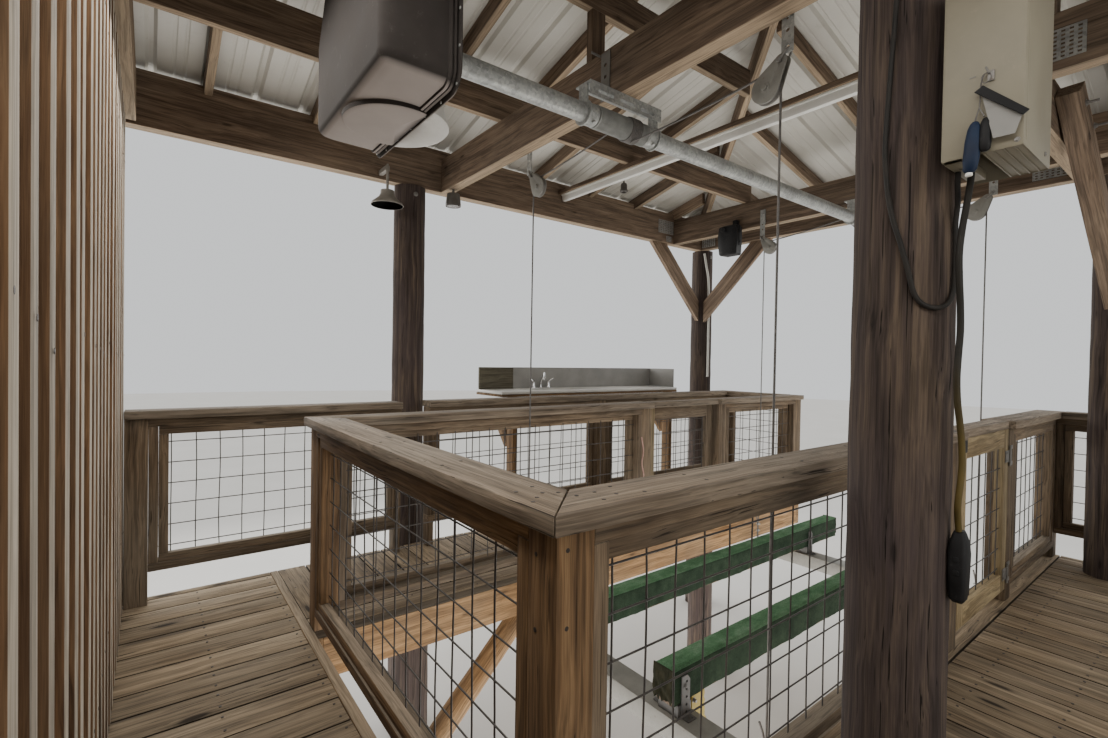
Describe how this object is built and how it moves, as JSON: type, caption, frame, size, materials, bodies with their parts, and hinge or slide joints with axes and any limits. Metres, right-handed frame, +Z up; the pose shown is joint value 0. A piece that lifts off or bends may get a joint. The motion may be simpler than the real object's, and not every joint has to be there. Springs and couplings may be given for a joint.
{
  "type": "boathouse",
  "caption": "Open boathouse on round piles: decks round a slip, wire-mesh railings with two gates, a cable boat lift and a metal hip roof.",
  "frame": {"origin": "under the middle of the roof's outline, level with the foot of the piles", "axes": "+X along the slip from the end wall towards open water, +Y across the slip to the far walkway, +Z up"},
  "size_m": [5.146, 5.019, 4.332],
  "materials": {
    "weathered_pile": "rough, weathered",
    "deck_board": "rough, weathered grey",
    "joist_wood": "rough, orange-brown",
    "wall_wood": "rough, stained brown",
    "beam_wood": "rough, brown",
    "rail_wood": "rough, weathered brown",
    "gate_wood": "rough, yellowish",
    "roof_metal": "satin, pale",
    "galvanised": "dull, galvanised",
    "dark_wire": "dull, dark",
    "steel": "dull",
    "cover_paint": "satin, dark grey-brown",
    "carpet": "matt, green",
    "box_plastic": "matt, off-white",
    "black_plastic": "matt, black",
    "cord_rubber": "dull, dark brown",
    "lamp_metal": "satin, pale grey",
    "white_paint": "satin, white"
  },
  "bodies": {
    "boathouse": {"piles": "weathered_pile", "log_brace": "weathered_pile", "head_deck": "deck_board", "far_deck": "deck_board", "near_deck": "deck_board", "head_joists": "joist_wood", "far_joists": "joist_wood", "near_joists": "joist_wood", "end_wall": "wall_wood", "wall_beam": "beam_wood", "side_headers": "beam_wood", "near_header": "beam_wood", "end_header": "beam_wood", "lift_beams": "beam_wood", "ceiling_joists": "beam_wood", "joist_posts": "beam_wood", "ridge_board": "beam_wood", "hip_rafters": "beam_wood", "side_rafters": "beam_wood", "end_rafters": "beam_wood", "roof_far": "roof_metal", "roof_near": "roof_metal", "roof_end": "roof_metal", "knee_braces": "beam_wood", "head_rail": "rail_wood", "head_mesh": "dark_wire", "near_rail": "rail_wood", "near_mesh": "dark_wire", "far_rail": "rail_wood", "far_mesh": "dark_wire", "outer_rail_far": "rail_wood", "outer_mesh_far": "dark_wire", "outer_rail_near": "rail_wood", "outer_mesh_near": "dark_wire", "end_rails": "rail_wood", "gate_hinges": "dark_wire", "bull_wheel": "lamp_metal", "shaft_brackets": "galvanised", "drive_cover": "cover_paint", "pulleys": "galvanised", "cables": "steel", "fall_cables": "steel", "control_box": "box_plastic", "junction_box": "galvanised", "power_cord": "cord_rubber", "handset_cord": "cord_rubber", "handset": "black_plastic", "speaker": "black_plastic", "lamps": "lamp_metal", "light_batten": "white_paint", "sink_counter": "rail_wood", "splash_panels": "galvanised"},
    "near_gate": {"gate_near": "gate_wood"},
    "far_gate": {"gate_far": "gate_wood"},
    "winder": {"shaft": "galvanised", "winders": "steel"},
    "cradle": {"cradle_frame": "galvanised", "bunks": "carpet"}
  },
  "joints": [
    {"name": "near_gate_hinge", "type": "hinge", "parent": "boathouse", "child": "near_gate", "pos_m": [1.362, -0.415, 1.2], "axis": [0, 0, 1], "range_deg": [0, 95]},
    {"name": "far_gate_hinge", "type": "hinge", "parent": "boathouse", "child": "far_gate", "pos_m": [1.322, 1.366, 1.2], "axis": [0, 0, -1], "range_deg": [0, 52]},
    {"name": "cradle_lift", "type": "slide", "parent": "boathouse", "child": "cradle", "axis": [0, 0, 1], "range_m": [-0.75, 0.8], "deforming": ["fall_cables"]},
    {"name": "shaft_turn", "type": "hinge", "parent": "boathouse", "child": "winder", "pos_m": [-0.473, 0.491, 3.365], "axis": [1, 0, 0], "range_deg": [-735, 785]}
  ],
  "couplings": [
    {"joint": "shaft_turn", "follows": "cradle_lift", "rad_per_m": 16.949}
  ]
}
